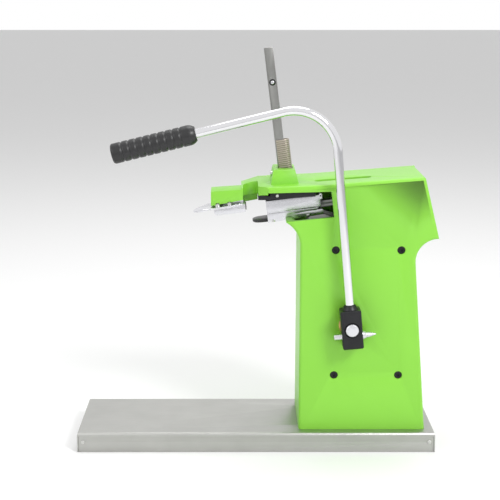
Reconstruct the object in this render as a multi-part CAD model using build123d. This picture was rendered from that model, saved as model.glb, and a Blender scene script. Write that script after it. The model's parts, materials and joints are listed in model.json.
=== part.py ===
from build123d import *
import os
from math import asin, atan2, cos, degrees, pi, radians, sin, sqrt, tan

os.makedirs("parts", exist_ok=True)

# Bench machine that closes a U-shaped metal clip round the neck of a bag.
# Millimetres. X runs from the bag side to the rear, Y away from the lever, Z up.
# The origin is on the bench, under the middle of the base tray.

# Further out than anything on the machine, for cuts that run off it
BEYOND = 400.0

# Base tray, folded from one sheet
TRAY_LENGTH = 400.0
TRAY_WIDTH = 120.0
TRAY_HEIGHT = 22.5
TRAY_SHEET = 1.5
TRAY_BEND = 3.0
TRAY_SLIT = 0.6
TRAY_SLIT_TOP = 4.5
TAB_WIDTH = 14.0
TAB_BOTTOM = 1.5
LIP_WIDTH = 13.0
LIP_END = 17.0
BENCH_HOLE_R = 2.5
BENCH_HOLE_DX = 320.0
BENCH_HOLE_DY = 104.0
RIVET_INSET = 6.5
RIVET_HEIGHT = 11.5
RIVET_HEAD_R = 2.4
RIVET_HEAD = 0.8
RIVET_SHANK_R = 1.6
RIVET_TAIL = 1.6
BACKING_LENGTH = 132.0
BACKING_WIDTH = 80.0
BACKING_T = 3.0

# Housing: column, rear head, arm and front block in one hollow casting
HOUSING_WIDTH = 96.0
WALL = 5.5
COVER_T = 5.5
COLUMN_FRONT = 47.7
FRONT_CURVE_R = 29.5
FRONT_CURVE_Z = 232.0
SILL_FRONT = 32.5
HEAD_TIP_X = 199.4
HEAD_TIP_Z = 240.0
HEAD_TOP_X = 182.5
HEAD_TOP_Z = 308.3
REAR_CURVE_R = 25.0
REAR_LEAN = 4.45
ARM_FRONT = 2.0
ARM_TOP_Z = 296.6
ARM_UNDER_Z = 290.6
ARM_UNDER_SLOPE = 1.2
RIB_Z = 286.5
RIB_RISE = 2.5
RIB_LENGTH = 12.6
KINK_X = 66.0
KINK_Z = 299.4
EDGE_R = 3.5
HEAD_CORNER_R = 3.0
BASE_BOLT_X = 15.0
BASE_BOLT_DX = 110.0
BASE_BOLT_Y = 30.0

# Window in the near wall
WINDOW_REAR_TOP = 81.0
WINDOW_REAR_FOOT = 84.4
WINDOW_TOP_Z = 290.8
WINDOW_TOP_SLOPE = 1.5
SILL_Z = 259.2
SILL_SLOPE = 5.6

# Throat that takes the neck of the bag
THROAT_WIDTH = 16.7
THROAT_MOUTH_X = 13.0
THROAT_MOUTH_Y = 12.0
BLOCK_LENGTH = 35.3
BLOCK_HALF = 22.0
BLOCK_FOOT_Z = 272.5
BLOCK_FOOT_SLOPE = 10.9
BLOCK_NEAR_Z = 288.4
BLOCK_NEAR_SLOPE = 3.6
BLOCK_CREST_Y = 0.0
BLOCK_CREST = 1.6
BLOCK_FALL = 8.0
BRIDGE_Y = 18.5
BRIDGE_DEPTH = 9.0

# Slot in the top of the column
SLOT_X = 64.4
SLOT_LENGTH = 63.0
SLOT_WIDTH = 12.0
SLOT_Y = -14.0

# Punch line: every guide, punch and die lies square to this frame
FEED_TILT = 7.0
FEED_X = 12.0
FEED_Z = 272.1

# Lever and rocker
SHAFT_X = 104.0
SHAFT_Z = 143.8
SHAFT_R = 7.0
SHAFT_FIT = 0.04
LEVER_LEAN = 5.3
LEVER_GAP = 0.4
ROD_R = 5.0
ROD_RISE = 250.0
ROD_REACH = 238.0
ROD_TURN = 98.5
ROD_BEND_R = 47.0
ROD_SEAT = 14.0
BLOCK_W = 22.5
BLOCK_H = 43.0
BLOCK_D = 22.0
BLOCK_CHAMFER = 1.2
BORE_CHAMFER = 1.8
SHAFT_PROUD = 1.8
COLLAR_FOOT_R = 9.0
COLLAR_TOP_R = 5.8
COLLAR_H = 5.2
COTTER_R = 3.2
COTTER_DROP = 8.9
COTTER_LEFT = 20.0
COTTER_RIGHT = 18.5
COTTER_TIP = 8.0
GRIP_R = 11.0
GRIP_LENGTH = 88.0
STROKE = 50.0
DRIVE_DROP = 4.5
DRIVE_PIN_R = 4.0
DRIVE_PLAY = 0.3
ROCKER_T = 10.0
ROCKER_EYE_R = 6.2
HUB_R = 15.0
HUB_LENGTH = 24.0

SPRING_ARM = 30.0
EAR_HALF = 2.0
SPRING_WIRE = 1.3
SPRING_R = 5.0
SPRING_EYE_TOP = 4.2
SPRING_EYE_LOW = 3.4
SPRING_FOOT_Z = 66.0
POST_GROOVE_R = 2.0
SHAFT_FAR = 36.0

# Frame plates inside the column
BUSH_R = 10.0
BUSH_FLANGE_R = 13.0
BUSH_FLANGE = 1.6
FRAME_T = 5.0
FRAME_GAP = 26.0
FRAME_FRONT = 57.0
FRAME_REAR = 166.0
FRAME_FOOT = 60.0
FRAME_HEAD = 254.0
SIDE_BOLT_X = 86.6
SIDE_BOLT_Z = 86.0
SIDE_BOLT_DX = 71.5
SIDE_BOLT_DZ = 142.0
BOSS_R = 8.0
SIDE_BOLT_R = 2.5
SIDE_HEAD_R = 4.25
SIDE_HEAD = 5.0
SIDE_RECESS_R = 4.5
SIDE_RECESS = 6.0

# Clip rail and the clips on it
RAIL_T = 22.0
RAIL_DEPTH = 10.0
RAIL_WIDTH = 9.0
RAIL_TOP = 171.0
RAIL_CHAMFER = 1.6
CLIP_SHEET = 1.4
CLIP_PLAY = 0.3
CLIP_PITCH = 2.25
CLIP_COUNT = 30
CLIP_LEG_SHORT = 1.3
CHUTE_PLAY = 0.6
TOWER_TOP_Z = 312.8
TOWER_HEAD_X = 30.8
TOWER_HEAD_LENGTH = 23.6
TOWER_HEAD_WIDTH = 46.0
TOWER_FOOT_X = 31.3
TOWER_FOOT_LENGTH = 30.6
TOWER_FOOT_WIDTH = 56.0
CATCH_N = 133.0
CATCH_R = 3.6
BUTTON_R = 2.2
BUTTON_TRAVEL = 1.6
BUTTON_FIT = 0.05

# Punch, guide and die, along the punch line
GUIDE_FRONT = -1.0
GUIDE_REAR = 59.0
GUIDE_TOP = 5.25
GUIDE_FLOOR = -11.0
GUIDE_SKIRT = -15.0
SKIRT_REAR = 43.0
GUIDE_WIDTH = 40.0
SKIRT_T = 1.5
STRIP_BOTTOM = -19.1
STRIP_SLOPE = 2.1
STRIP_REAR = 61.5
PAD_FRONT = -18.0
PAD_T = 3.3
BLADE_WIDTH = 14.0
BLADE_T = 2.4
SLIDE_PLAY = 0.3
SHANK_WIDTH = 16.0
SHANK_BOTTOM = -10.7
SHANK_TOP = -3.5
SHANK_LENGTH = 38.0
LAND_WIDTH = 8.0
YOKE_HALF = 11.9
YOKE_WALL = 4.0
YOKE_ROOM = 2.2
BLADE_REACH = 53.2
BLADE_LENGTH = 26.4
YOKE_BOTTOM = -10.5
YOKE_TOP = 3.0
DIE_FACE = -24.2
DIE_T = 7.0
HOLDER_REAR_END = 35.0
HOLDER_TOP = 4.0
HOLDER_BOTTOM = -5.0
HOLDER_RISER = 10.5
HORN_T = 2.0
HORN_FAR = 17.0
HORN_SHOULDER = -52.0
PLATE_UNDER_Z = 281.4
PLATE_SLOPE = 4.8
PLATE_MOUTH_X = 14.6

HALF_W = HOUSING_WIDTH / 2
NEAR_Y = -HALF_W
LEVER_Y = NEAR_Y - BUSH_FLANGE - LEVER_GAP - BLOCK_D / 2
INNER_NEAR = NEAR_Y + WALL
INNER_FAR = HALF_W - COVER_T
FRAME_IN = FRAME_GAP / 2
FRAME_OUT = FRAME_IN + FRAME_T
RING_FAR_Y = FRAME_OUT + 5.0
TILT = radians(FEED_TILT)
THROAT_FRONT = ARM_FRONT - THROAT_WIDTH
BLOCK_FRONT = THROAT_FRONT - BLOCK_LENGTH
SWING_T = (SHAFT_X - FEED_X) * cos(TILT) + (SHAFT_Z - FEED_Z) * sin(TILT)
SHAFT_N = (SHAFT_Z - FEED_Z) * cos(TILT) - (SHAFT_X - FEED_X) * sin(TILT)
DRIVE_LINE = -SHAFT_N - DRIVE_DROP
ROCKER_R = DRIVE_LINE / (0.5 + 0.5 * cos(asin(STROKE / 2 / DRIVE_LINE)))
SWING = asin(STROKE / 2 / ROCKER_R)
SPRING_X = SHAFT_X + SPRING_ARM * (1 + cos(SWING)) / 2
PIN_T = SWING_T + STROKE / 2
PIN_N = SHAFT_N + ROCKER_R * cos(SWING)
YOKE_FRONT = PIN_T - ROCKER_EYE_R - YOKE_ROOM - YOKE_WALL
BLADE_FACE = YOKE_FRONT - BLADE_REACH
SHANK_FRONT = YOKE_FRONT - SHANK_LENGTH
BLADE_REAR = BLADE_FACE + BLADE_LENGTH
CROWN_T = RAIL_T + RAIL_DEPTH / 2 - 0.2
CLIP_IN = RAIL_WIDTH / 2 + CLIP_PLAY
CLIP_OUT = CLIP_IN + CLIP_SHEET
CLIP_BASE = BLADE_T / 2 + 0.7
STICK_LENGTH = CLIP_COUNT * CLIP_PITCH


def in_feed(piece):
    """Places a piece that is drawn along the punch line: X along it, Z square to it."""
    return Pos(FEED_X, 0, FEED_Z) * Rot(0, -FEED_TILT, 0) * piece


def feed_xz(t, n):
    """The X and Z of a point given along and square to the punch line."""
    return (FEED_X + t * cos(TILT) - n * sin(TILT), FEED_Z + t * sin(TILT) + n * cos(TILT))


def on_lever(piece):
    """Places a piece that is drawn about the shaft, with the lever rod straight up."""
    return Pos(SHAFT_X, 0, SHAFT_Z) * Rot(0, -LEVER_LEAN, 0) * piece


def block(x0, x1, y0, y1, z0, z1):
    """A box given by its limits."""
    return Pos((x0 + x1) / 2, (y0 + y1) / 2, (z0 + z1) / 2) * Box(x1 - x0, y1 - y0, z1 - z0)


def side_prism(face, y0, y1):
    """Extrudes a face drawn in X and Z from one Y to another."""
    return extrude(Plane.XZ.offset(-y1) * face, amount=y1 - y0)


def plan_prism(face, z0, z1):
    """Extrudes a face drawn in X and Y from one height to another."""
    return extrude(Pos(0, 0, z0) * face, amount=z1 - z0)


def bar_y(x, z, radius, y0, y1):
    """A round bar along Y."""
    return Pos(x, (y0 + y1) / 2, z) * Rot(90, 0, 0) * Cylinder(radius, y1 - y0)


def bar_z(x, y, radius, z0, z1):
    """A round bar along Z."""
    return Pos(x, y, (z0 + z1) / 2) * Cylinder(radius, z1 - z0)


def polygon(points):
    return make_face(Polyline(*points, close=True))


def hex_head(across_flats, height):
    """A hexagon head standing on Z = 0."""
    return extrude(RegularPolygon(across_flats / 2, 6, major_radius=False), amount=height)


def cap_screw(shank_r, length, head_r, head, hollow=True):
    """A socket screw: its head stands up from Z = 0 and its shank goes down.

    Without its hollow it is the shape to cut from the pieces it goes through, with room over the head.
    """
    if not hollow:
        head += 1.0
    screw = Pos(0, 0, head / 2) * Cylinder(head_r, head)
    if hollow:
        screw = chamfer(screw.edges().sort_by(Axis.Z)[-1], head_r * 0.12)
        screw -= Pos(0, 0, head * 0.45) * hex_head(shank_r * 1.7, head)
    return screw + Pos(0, 0, -length / 2) * Cylinder(shank_r, length)


def top_z(x):
    """Height of the top of the arm and column at a given X."""
    if x < KINK_X:
        return ARM_TOP_Z + (KINK_Z - ARM_TOP_Z) * (x - ARM_FRONT) / (KINK_X - ARM_FRONT)
    return KINK_Z + (HEAD_TOP_Z - KINK_Z) * (x - KINK_X) / (HEAD_TOP_X - KINK_X)


def under_z(x):
    """Height of the underside of the arm at a given X."""
    return ARM_UNDER_Z + (x - ARM_FRONT) * tan(radians(ARM_UNDER_SLOPE))


def plate_under(x):
    """Height of the underside of the plate under the arm."""
    return PLATE_UNDER_Z + (x - ARM_FRONT) * tan(radians(PLATE_SLOPE))


def strip_under(t):
    """How far the underside of the strip lies below the punch line."""
    return STRIP_BOTTOM + (t - GUIDE_FRONT) * tan(radians(STRIP_SLOPE))


def housing_face(inset):
    """Side view of column, head and arm. An inset gives the hollow inside them."""
    curve_x = COLUMN_FRONT - FRONT_CURVE_R
    sill_z = FRONT_CURVE_Z + sqrt(FRONT_CURVE_R ** 2 - (SILL_FRONT - curve_x) ** 2)
    half = atan2(sill_z - FRONT_CURVE_Z, SILL_FRONT - curve_x) / 2
    front_mid = (curve_x + FRONT_CURVE_R * cos(half), FRONT_CURVE_Z + FRONT_CURVE_R * sin(half))
    rear_x = HEAD_TIP_X
    rear_z = HEAD_TIP_Z - REAR_CURVE_R
    lean = radians(REAR_LEAN)
    rear_start = (rear_x - REAR_CURVE_R * cos(lean), rear_z - REAR_CURVE_R * sin(lean))
    mid = radians(135)
    rear_mid = (rear_x + REAR_CURVE_R * cos(mid), rear_z + REAR_CURVE_R * sin(mid))
    foot_x = rear_start[0] + (rear_start[1] - TRAY_HEIGHT) * tan(lean)
    foot = (COLUMN_FRONT, TRAY_HEIGHT)
    knee = (COLUMN_FRONT, FRONT_CURVE_Z)
    sill = (SILL_FRONT, sill_z)
    under_rear = (SILL_FRONT, under_z(SILL_FRONT))
    kink = (KINK_X, KINK_Z)
    head_top = (HEAD_TOP_X, HEAD_TOP_Z)
    tip = (HEAD_TIP_X, HEAD_TIP_Z)
    rear_foot = (foot_x, TRAY_HEIGHT)
    column = [
        Line(kink, head_top),
        Line(head_top, tip),
        ThreePointArc(tip, rear_mid, rear_start),
        Line(rear_start, rear_foot),
        Line(rear_foot, foot),
        Line(foot, knee),
        ThreePointArc(knee, front_mid, sill),
    ]
    if inset:
        arm_root = (SILL_FRONT, top_z(SILL_FRONT))
        column += [Line(sill, arm_root), Line(arm_root, kink)]
        return offset(make_face(column), amount=-inset, kind=Kind.INTERSECTION)
    # the arm, with a rib under its end at the throat
    rib_x = ARM_FRONT + RIB_LENGTH
    arm = Polyline(
        sill, under_rear, (rib_x, under_z(rib_x)), (rib_x, RIB_Z), (ARM_FRONT, RIB_Z),
        (ARM_FRONT, top_z(ARM_FRONT)), kink)
    return make_face(column + arm.edges())


def outer_edges(piece, y):
    """The edges of one side that the casting rounds: all but its foot and the arm's underside."""
    side = piece.edges().filter_by(lambda e: abs(e.center().Y - y) < 0.01)
    side = side.filter_by(lambda e: e.center().Z > TRAY_HEIGHT + 1)
    return side.filter_by(lambda e: e.center().X > SILL_FRONT + 1 or e.center().Z > ARM_TOP_Z)


def side_bolt_places():
    places = []
    for row in range(2):
        for column in range(2):
            places.append((SIDE_BOLT_X + column * SIDE_BOLT_DX, SIDE_BOLT_Z + row * SIDE_BOLT_DZ))
    return places


def base_bolt_places():
    places = []
    for x in (COLUMN_FRONT + BASE_BOLT_X, COLUMN_FRONT + BASE_BOLT_X + BASE_BOLT_DX):
        for y in (-BASE_BOLT_Y, BASE_BOLT_Y):
            places.append((x, y))
    return places


def clip_passage():
    """The space that the clips and their rail take on their way down, with room round it."""
    half = CLIP_OUT + CHUTE_PLAY
    front = RAIL_T - RAIL_DEPTH / 2
    rear = CROWN_T + CLIP_OUT + CHUTE_PLAY
    return in_feed(block(front, rear, -half, half, -BLADE_T / 2 - SLIDE_PLAY, STICK_LENGTH))


def feed_screws(hollow=True):
    """Four long screws that hang the guide under the arm, drawn with their heads down."""
    group = []
    for t, top in ((5.0, 22.0), (44.0, 19.3)):
        for y in (-15.6, 15.6):
            seat = strip_under(t) + 2.6
            screw = cap_screw(2.0, top - seat, 3.5, 2.6, hollow)
            group.append(in_feed(Pos(t, y, seat) * Rot(180, 0, 0) * screw))
    return group


def tower_screw_group(hollow=True):
    """Four short screws from inside the arm up into the tower."""
    group = []
    for x, dy in ((21.5, 12.0), (43.0, 9.5)):
        for y in (-dy, dy):
            z = under_z(x)
            group.append(Pos(x, y, z) * Rot(180, 0, 0) * cap_screw(1.5, 13.0, 2.8, 2.4, hollow))
    return group


# Base tray, its corner rivets, and the plate and bolts that hold the column

def make_base_tray():
    tray = block(-TRAY_LENGTH / 2, TRAY_LENGTH / 2, -TRAY_WIDTH / 2, TRAY_WIDTH / 2, 0, TRAY_HEIGHT)
    tray = fillet(tray.edges().group_by(Axis.Z)[-1], TRAY_BEND)
    hollow = block(
        -TRAY_LENGTH / 2 + TRAY_SHEET, TRAY_LENGTH / 2 - TRAY_SHEET,
        -TRAY_WIDTH / 2 + TRAY_SHEET, TRAY_WIDTH / 2 - TRAY_SHEET, -1, TRAY_HEIGHT - TRAY_SHEET)
    hollow = fillet(hollow.edges().group_by(Axis.Z)[-1], TRAY_BEND - TRAY_SHEET)
    tray -= hollow
    for side in (-1, 1):
        for end in (-1, 1):
            x = end * (TRAY_LENGTH / 2 - TRAY_SHEET)
            y = side * (TRAY_WIDTH / 2 - TRAY_SHEET)
            tab_x = sorted((x, x - end * TAB_WIDTH))
            tab_y = sorted((y, y - side * TRAY_SHEET))
            tab = block(*tab_x, *tab_y, TAB_BOTTOM, TRAY_HEIGHT - TRAY_SLIT_TOP - TRAY_SHEET)
            tray += tab
            slit_x = sorted((x, x - end * TRAY_SLIT))
            slit_y = sorted((y, y + side * 2 * TRAY_SHEET))
            tray -= block(*slit_x, *slit_y, -1, TRAY_HEIGHT - TRAY_SLIT_TOP)
    # both long sides turn inwards at the foot, with tapped holes for screws that come up through a bench
    lip_x = TRAY_LENGTH / 2 - LIP_END
    for side in (-1, 1):
        lip_y = sorted((side * TRAY_WIDTH / 2, side * (TRAY_WIDTH / 2 - LIP_WIDTH)))
        tray += block(-lip_x, lip_x, *lip_y, 0, TRAY_SHEET)
        for x in (-BENCH_HOLE_DX / 2, BENCH_HOLE_DX / 2):
            tray -= bar_z(x, side * BENCH_HOLE_DY / 2, BENCH_HOLE_R, -1, TRAY_HEIGHT / 2)
    return tray


def make_tray_rivets():
    rivets = []
    for side in (-1, 1):
        for end in (-1, 1):
            x = end * (TRAY_LENGTH / 2 - RIVET_INSET)
            face = TRAY_WIDTH / 2
            head = Pos(0, 0, RIVET_HEAD / 2) * Cone(RIVET_HEAD_R, RIVET_HEAD_R * 0.8, RIVET_HEAD)
            shank_length = 2 * TRAY_SHEET
            shank = Pos(0, 0, -shank_length / 2) * Cylinder(RIVET_SHANK_R, shank_length)
            tail = Pos(0, 0, -shank_length - RIVET_TAIL / 2) * Cylinder(RIVET_HEAD_R * 0.9, RIVET_TAIL)
            rivet = head + shank + tail
            turn = 90 if side < 0 else -90
            rivets.append(Pos(x, side * face, RIVET_HEIGHT) * Rot(turn, 0, 0) * rivet)
    return rivets


def make_backing_plate():
    middle = COLUMN_FRONT + BASE_BOLT_X + BASE_BOLT_DX / 2
    top = TRAY_HEIGHT - TRAY_SHEET
    plate = block(
        middle - BACKING_LENGTH / 2, middle + BACKING_LENGTH / 2,
        -BACKING_WIDTH / 2, BACKING_WIDTH / 2, top - BACKING_T, top)
    return fillet(plate.edges().filter_by(Axis.Z), 6.0)


def make_base_bolts():
    bolts = []
    seat = TRAY_HEIGHT - TRAY_SHEET - BACKING_T
    for x, y in base_bolt_places():
        bolt = Pos(0, 0, -4.0) * hex_head(10.0, 4.0) + Pos(0, 0, 9.5) * Cylinder(3.0, 19.0)
        bolts.append(Pos(x, y, seat) * bolt)
    return bolts


# Housing casting and its cover

def make_housing_body():
    body = side_prism(housing_face(0), NEAR_Y, INNER_FAR)
    body = fillet(outer_edges(body, NEAR_Y), EDGE_R)
    head_edge = body.edges().filter_by(Axis.Y).filter_by(
        lambda e: abs(e.center().X - HEAD_TOP_X) < 0.5 and e.center().Z > HEAD_TOP_Z - 1)
    body = fillet(head_edge, HEAD_CORNER_R)

    # front block, and the bridge that carries it round the far side of the throat
    foot_rear = BLOCK_FOOT_Z + (ARM_FRONT - BLOCK_FRONT) * tan(radians(BLOCK_FOOT_SLOPE))
    lump = polygon([
        (BLOCK_FRONT, BLOCK_FOOT_Z), (ARM_FRONT, foot_rear), (ARM_FRONT, BEYOND), (BLOCK_FRONT, BEYOND)])
    bridge_plan = make_face([
        Line((BLOCK_FRONT, -BLOCK_HALF), (BLOCK_FRONT, BLOCK_HALF - 4)),
        ThreePointArc((BLOCK_FRONT, BLOCK_HALF - 4), (BLOCK_FRONT + 8, BLOCK_HALF + 4), (-24, BLOCK_HALF + 9)),
        Line((-24, BLOCK_HALF + 9), (ARM_FRONT, INNER_FAR - 1)),
        Line((ARM_FRONT, INNER_FAR - 1), (ARM_FRONT, -BLOCK_HALF)),
        Line((ARM_FRONT, -BLOCK_HALF), (BLOCK_FRONT, -BLOCK_HALF)),
    ])
    front = side_prism(lump, -BLOCK_HALF, INNER_FAR)
    front += Pos(0, 0, -BRIDGE_DEPTH) * side_prism(lump, BRIDGE_Y, INNER_FAR)
    body += front & plan_prism(bridge_plan, 0, BEYOND)

    # cut everything to the slope of the top
    crest_rear = BLOCK_NEAR_Z + BLOCK_CREST + BLOCK_LENGTH * tan(radians(BLOCK_NEAR_SLOPE))
    sky = polygon([
        (BLOCK_FRONT - 1, crest_rear), (THROAT_FRONT, crest_rear), (ARM_FRONT, top_z(ARM_FRONT)),
        (KINK_X, KINK_Z), (HEAD_TOP_X, HEAD_TOP_Z), (BEYOND, HEAD_TOP_Z), (BEYOND, BEYOND),
        (BLOCK_FRONT - 1, BEYOND)])
    body -= side_prism(sky, -HOUSING_WIDTH, HOUSING_WIDTH)

    # the top of the front block rises a little to a crest and then falls away to the far side
    far_drop = (HALF_W - BLOCK_CREST_Y) * tan(radians(BLOCK_FALL))
    slope = polygon([
        (-BLOCK_HALF, 0), (BLOCK_CREST_Y, BLOCK_CREST), (HALF_W, BLOCK_CREST - far_drop),
        (HALF_W, HALF_W), (-BLOCK_HALF, HALF_W)])
    wedge = extrude(Plane.YZ.offset(-BLOCK_CREST) * slope, amount=BLOCK_LENGTH)
    body -= Pos(BLOCK_FRONT, 0, BLOCK_NEAR_Z) * Rot(0, -BLOCK_NEAR_SLOPE, 0) * wedge

    # the rib at the throat is lower at its far end than at the near wall
    rib_cut = polygon([
        (NEAR_Y + THROAT_MOUTH_Y, RIB_Z), (NEAR_Y, RIB_Z + RIB_RISE), (NEAR_Y - 1, RIB_Z + RIB_RISE),
        (NEAR_Y - 1, RIB_Z - 1), (NEAR_Y + THROAT_MOUTH_Y, RIB_Z - 1)])
    body -= extrude(Plane.YZ * rib_cut, amount=SILL_FRONT)

    # throat: a flared mouth on the lever side that narrows to a slot with a round seat
    seat_r = THROAT_WIDTH / 2
    mouth = NEAR_Y - 1
    throat = make_face([
        Line((THROAT_FRONT, mouth), (THROAT_FRONT, 0)),
        ThreePointArc((THROAT_FRONT, 0), (THROAT_FRONT + seat_r, seat_r), (ARM_FRONT, 0)),
        Line((ARM_FRONT, 0), (ARM_FRONT, NEAR_Y + THROAT_MOUTH_Y)),
        Line((ARM_FRONT, NEAR_Y + THROAT_MOUTH_Y), (THROAT_MOUTH_X + 1, mouth)),
        Line((THROAT_MOUTH_X + 1, mouth), (THROAT_FRONT, mouth)),
    ])
    body -= plan_prism(throat, 0, BEYOND)

    # hollow inside, open to the cover, with a thicker roof over the guide
    roof = polygon([
        (ARM_FRONT, under_z(ARM_FRONT)), (KINK_X, under_z(KINK_X)), (KINK_X + 8, BEYOND), (ARM_FRONT, BEYOND)])
    hollow = side_prism(housing_face(WALL), INNER_NEAR, INNER_FAR + 1)
    body -= hollow - side_prism(roof, -HOUSING_WIDTH, HOUSING_WIDTH)
    # open mouth of the hollow, under the arm
    mouth_face = polygon([
        (SILL_FRONT - 20, sill_line(SILL_FRONT - 20)), (COLUMN_FRONT + 20, sill_line(COLUMN_FRONT + 20)),
        (COLUMN_FRONT + 20, under_z(COLUMN_FRONT + 20)), (SILL_FRONT - 20, under_z(SILL_FRONT - 20))])
    body -= side_prism(mouth_face, INNER_NEAR, INNER_FAR + 1)
    # window in the near wall
    window = polygon([
        (SILL_FRONT - 20, sill_line(SILL_FRONT - 20)), (WINDOW_REAR_FOOT, sill_line(WINDOW_REAR_FOOT)),
        (WINDOW_REAR_TOP, window_top(WINDOW_REAR_TOP)), (SILL_FRONT - 1, window_top(SILL_FRONT - 1)),
        (SILL_FRONT - 1, under_z(SILL_FRONT - 1)), (SILL_FRONT - 20, under_z(SILL_FRONT - 20))])
    body -= side_prism(window, NEAR_Y - 1, INNER_NEAR + 1)
    # slot in the top
    slot = SlotOverall(SLOT_LENGTH, SLOT_WIDTH)
    body -= plan_prism(Pos(SLOT_X + SLOT_LENGTH / 2, SLOT_Y) * slot, WINDOW_TOP_Z, BEYOND)

    # bosses to the frame plate, pads for the base bolts and a ring round the shaft
    for x, z in side_bolt_places():
        body += bar_y(x, z, BOSS_R, INNER_NEAR - 1, -FRAME_OUT)
        body -= bar_y(x, z, SIDE_RECESS_R, NEAR_Y - 1, NEAR_Y + SIDE_RECESS)
        body -= bar_y(x, z, SIDE_BOLT_R, NEAR_Y, 0)
    for x, y in base_bolt_places():
        body += bar_z(x, y, 8.0, TRAY_HEIGHT + WALL - 1, TRAY_HEIGHT + 14)
    body += bar_y(SHAFT_X, SHAFT_Z, 16.0, INNER_NEAR - 1, INNER_NEAR + 5)
    body -= bar_y(SHAFT_X, SHAFT_Z, BUSH_R, NEAR_Y - 1, INNER_NEAR + 6)
    body -= clip_passage()
    # notch in the sill for the strip under the guide, and a seat in the block for the die holder
    side = GUIDE_WIDTH / 2 + 0.5
    notch = polygon([
        (GUIDE_FRONT - 5, strip_under(GUIDE_FRONT - 5)), (STRIP_REAR, strip_under(STRIP_REAR)),
        (STRIP_REAR, 0), (GUIDE_FRONT - 5, 0)])
    body -= in_feed(side_prism(notch, -side, side))
    return body - holder_riser()


def sill_line(x):
    """Height of the sill under the guide at a given X."""
    return SILL_Z + (x - SILL_FRONT) * tan(radians(SILL_SLOPE))


def window_top(x):
    """Height of the top of the window at a given X."""
    return WINDOW_TOP_Z + (x - THROAT_MOUTH_X) * tan(radians(WINDOW_TOP_SLOPE))


def make_housing_cover():
    cover = side_prism(housing_face(0), INNER_FAR, HALF_W)
    cover = fillet(outer_edges(cover, HALF_W), EDGE_R)
    cover -= block(-BEYOND, THROAT_MOUTH_X, 0, HOUSING_WIDTH, 0, BEYOND)
    lip = offset(housing_face(WALL), amount=-0.3, kind=Kind.INTERSECTION)
    spigot = side_prism(lip, INNER_FAR - 2.5, INNER_FAR)
    spigot -= side_prism(offset(lip, amount=-3.0, kind=Kind.INTERSECTION), 0, HOUSING_WIDTH)
    cover += spigot
    # the guide and its plate reach the far side in front of the spigot
    cover -= block(0, COLUMN_FRONT + 30, 0, INNER_FAR, sill_line(COLUMN_FRONT) - 12, BEYOND)
    for x, z in side_bolt_places():
        cover += bar_y(x, z, BOSS_R, FRAME_OUT, INNER_FAR + 1)
        cover -= bar_y(x, z, SIDE_RECESS_R, HALF_W - SIDE_RECESS, HALF_W + 1)
        cover -= bar_y(x, z, SIDE_BOLT_R, 0, HALF_W)
    return cover


def make_side_bolts(side):
    bolts = []
    seat = side * (HALF_W - SIDE_RECESS)
    for x, z in side_bolt_places():
        length = abs(seat) - FRAME_IN
        bolt = cap_screw(SIDE_BOLT_R, length, SIDE_HEAD_R, SIDE_HEAD)
        turn = 90 if side < 0 else -90
        bolts.append(Pos(x, seat, z) * Rot(turn, 0, 0) * bolt)
    return bolts


# Frame plates, spacers and bushes inside the column

def spacer_places():
    return [(FRAME_FRONT + 8, FRAME_FOOT + 8), (FRAME_REAR - 8, FRAME_FOOT + 8), (FRAME_REAR - 8, FRAME_HEAD - 10)]


def make_frame_plate(y0, y1):
    front_top = feed_xz(46.0, strip_under(46.0))
    rear_top = feed_xz(STRIP_REAR, strip_under(STRIP_REAR))
    face = polygon([
        (FRAME_FRONT, FRAME_FOOT), (FRAME_REAR, FRAME_FOOT), (FRAME_REAR, FRAME_HEAD),
        (rear_top[0] + 26, FRAME_HEAD), rear_top, front_top, (FRAME_FRONT, front_top[1] - 3)])
    plate = side_prism(face, y0, y1)
    plate = fillet(plate.edges().filter_by(Axis.Y).filter_by(
        lambda e: e.center().Z < FRAME_FOOT + 1 or e.center().X > FRAME_REAR - 1), 8.0)
    for z in (112.0, 190.0):
        plate -= bar_y(140.0, z, 13.0, y0 - 1, y1 + 1)
    for x, z in spacer_places():
        plate -= bar_y(x, z, 2.5, y0 - 1, y1 + 1)
    for x, z in side_bolt_places():
        plate -= bar_y(x, z, SIDE_BOLT_R, y0 - 1, y1 + 1)
    plate -= bar_y(SHAFT_X, SHAFT_Z, BUSH_R, y0 - 1, y1 + 1)
    return plate


def make_frame_spacers():
    spacers = []
    for x, z in spacer_places():
        rod = bar_y(x, z, 5.0, -FRAME_IN, FRAME_IN) + bar_y(x, z, 2.5, -FRAME_OUT - 2, FRAME_OUT + 2)
        spacers.append(rod)
    return spacers


def make_spacer_nuts():
    nuts = []
    for x, z in spacer_places():
        for side in (-1, 1):
            nut = hex_head(8.0, 2.0) - Cylinder(2.5, 10)
            turn = 90 if side < 0 else -90
            nuts.append(Pos(x, side * FRAME_OUT, z) * Rot(turn, 0, 0) * nut)
    return nuts


def make_shaft_bush(y0, y1, flange_y):
    bush = bar_y(SHAFT_X, SHAFT_Z, BUSH_R, y0, y1)
    f0, f1 = sorted((flange_y, flange_y + (BUSH_FLANGE if flange_y > 0 else -BUSH_FLANGE)))
    bush += bar_y(SHAFT_X, SHAFT_Z, BUSH_FLANGE_R, f0, f1)
    return bush - bar_y(SHAFT_X, SHAFT_Z, SHAFT_R + SHAFT_FIT, y0 - 5, y1 + 5)


# Plate, chute, guide and strip that carry the punch

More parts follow.
